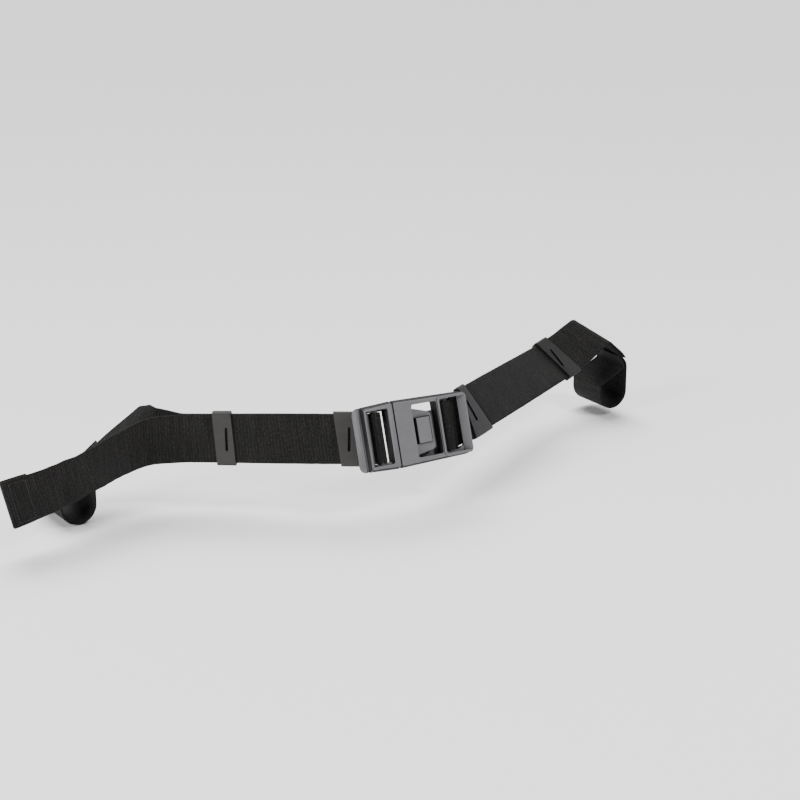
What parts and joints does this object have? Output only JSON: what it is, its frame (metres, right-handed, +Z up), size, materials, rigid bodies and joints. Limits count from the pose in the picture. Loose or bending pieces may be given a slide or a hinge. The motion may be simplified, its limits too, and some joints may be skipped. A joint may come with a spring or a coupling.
{
  "type": "seat hip belt",
  "caption": "Black webbing hip belt with a centre-release buckle, keeper loops, a hemmed tail and loops that hold a seat's frame tubes.",
  "frame": {"origin": "middle of the frame tube that the right strap loops round", "axes": "+X along the belt from its tail end towards the right loop, +Y towards the seat's back, +Z up"},
  "size_m": [0.5773, 0.1516, 0.0839],
  "materials": {
    "webbing_black": "matte",
    "buckle_plastic": "satin",
    "keeper_plastic": "satin",
    "sewing_thread": "matte"
  },
  "bodies": {
    "right_strap": {"right_webbing": "webbing_black", "right_inner_keeper": "keeper_plastic", "right_tail_stitching": "sewing_thread"},
    "right_keeper": {"right_outer_keeper": "keeper_plastic"},
    "buckle_receiver": {"receiver": "buckle_plastic"},
    "buckle_plug": {"plug": "buckle_plastic"},
    "buckle_latch": {"latch": "buckle_plastic"},
    "left_strap": {"left_webbing": "webbing_black", "left_inner_keeper": "keeper_plastic", "tail_hem_stitching": "sewing_thread", "left_loop_stitching": "sewing_thread"},
    "left_keeper": {"left_outer_keeper": "keeper_plastic"}
  },
  "joints": [
    {"name": "right_keeper_slide", "type": "slide", "parent": "right_strap", "child": "right_keeper", "axis": [0.9494, 0.1826, 0.2556], "range_m": [-0.002, 0.002]},
    {"name": "right_bar_swing", "type": "hinge", "parent": "right_strap", "child": "buckle_receiver", "pos_m": [-0.23201, -0.10404, 0.03826], "axis": [0.0227, 0.3255, 0.9453], "range_deg": [-30, 0]},
    {"name": "plug_slide", "type": "slide", "parent": "buckle_receiver", "child": "buckle_plug", "axis": [-0.9997, 0.0074, 0.0215], "range_m": [0, 0.045], "deforming": ["latch"]},
    {"name": "latch_press", "type": "hinge", "parent": "buckle_plug", "child": "buckle_latch", "pos_m": [-0.2474, -0.10355, 0.03846], "axis": [0.0227, 0.3255, 0.9453], "range_deg": [0, 10], "stiffness_Nm_per_rad": 0.12},
    {"name": "left_bar_swing", "type": "hinge", "parent": "buckle_plug", "child": "left_strap", "pos_m": [-0.29339, -0.10359, 0.03958], "axis": [0.0227, 0.3255, 0.9453], "range_deg": [-35, 0]},
    {"name": "left_keeper_slide", "type": "slide", "parent": "left_strap", "child": "left_keeper", "axis": [0.7952, -0.606, 0.0198], "range_m": [-0.015, 0.012]}
  ]
}
